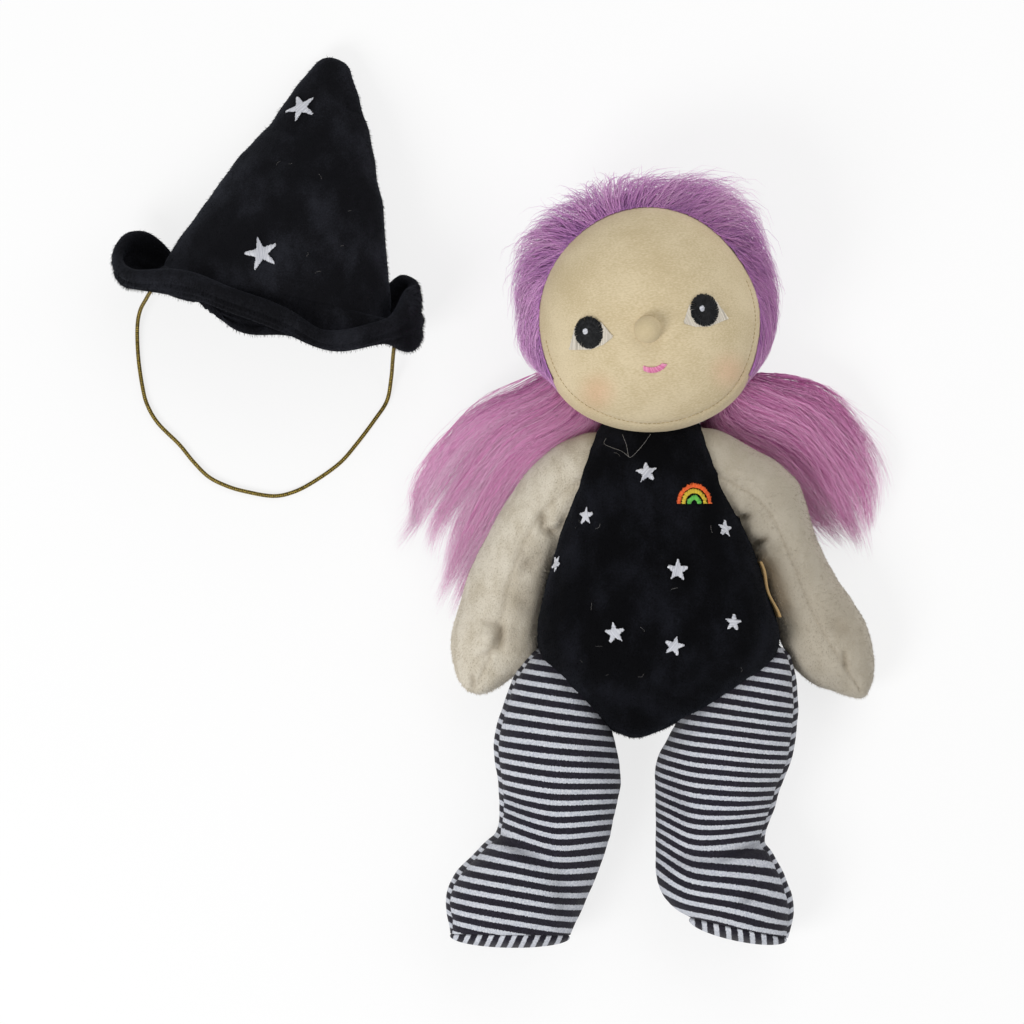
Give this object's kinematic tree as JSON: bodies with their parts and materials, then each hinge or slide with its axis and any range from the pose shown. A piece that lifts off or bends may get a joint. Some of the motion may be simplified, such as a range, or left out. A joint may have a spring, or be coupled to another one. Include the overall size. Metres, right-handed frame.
{
  "type": "witch doll",
  "caption": "Small sewn rag doll with long hair bunches, starred black body and striped legs, lying beside its pointed velour hat on a thin elastic.",
  "frame": {"origin": "middle of the flat patch of the torso's back, on the surface the doll lies on", "axes": "+Y from the feet towards the crown of the head, +Z from the back towards the face, +X towards the doll's left hand"},
  "size_m": [0.253, 0.2857, 0.0718],
  "materials": {
    "face_jersey": "matte",
    "skin_velour": "matte",
    "wig_pile": "silky",
    "bunch_pile": "silky",
    "black_velour": "matte",
    "striped_jersey": "matte",
    "fibre_filling": "matte",
    "black_thread": "satin",
    "white_thread": "satin",
    "pink_thread": "satin",
    "orange_thread": "satin",
    "yellow_thread": "satin",
    "green_thread": "satin",
    "tan_ribbon": "matte",
    "gold_elastic": "satin"
  },
  "bodies": {
    "root": {"face_panel": "face_jersey", "head_back_panel": "skin_velour", "head_stuffing": "fibre_filling", "wig_cap": "wig_pile", "hair_bunch_right": "bunch_pile", "hair_bunch_left": "bunch_pile", "nose": "face_jersey", "eye_white_right": "white_thread", "eye_white_left": "white_thread", "pupil_right": "black_thread", "pupil_left": "black_thread", "eye_glint_right": "white_thread", "eye_glint_left": "white_thread", "mouth": "pink_thread", "torso_front_panel": "black_velour", "torso_back_panel": "black_velour", "torso_stuffing": "fibre_filling", "star_1": "white_thread", "star_2": "white_thread", "star_3": "white_thread", "star_4": "white_thread", "star_5": "white_thread", "star_6": "white_thread", "star_7": "white_thread", "star_8": "white_thread", "rainbow_orange": "orange_thread", "rainbow_yellow": "yellow_thread", "rainbow_green": "green_thread", "side_tab": "tan_ribbon", "arm_right_inner_panel": "skin_velour", "arm_right_outer_panel": "skin_velour", "arm_right_stuffing": "fibre_filling", "arm_left_inner_panel": "skin_velour", "arm_left_outer_panel": "skin_velour", "arm_left_stuffing": "fibre_filling", "leg_right_front_panel": "striped_jersey", "leg_right_back_panel": "striped_jersey", "leg_right_stuffing": "fibre_filling", "sole_right": "striped_jersey", "leg_left_front_panel": "striped_jersey", "leg_left_back_panel": "striped_jersey", "leg_left_stuffing": "fibre_filling", "sole_left": "striped_jersey", "hat_cone": "black_velour", "hat_brim": "black_velour", "hat_star_upper": "white_thread", "hat_star_lower": "white_thread", "hat_elastic": "gold_elastic"}
  },
  "joints": []
}
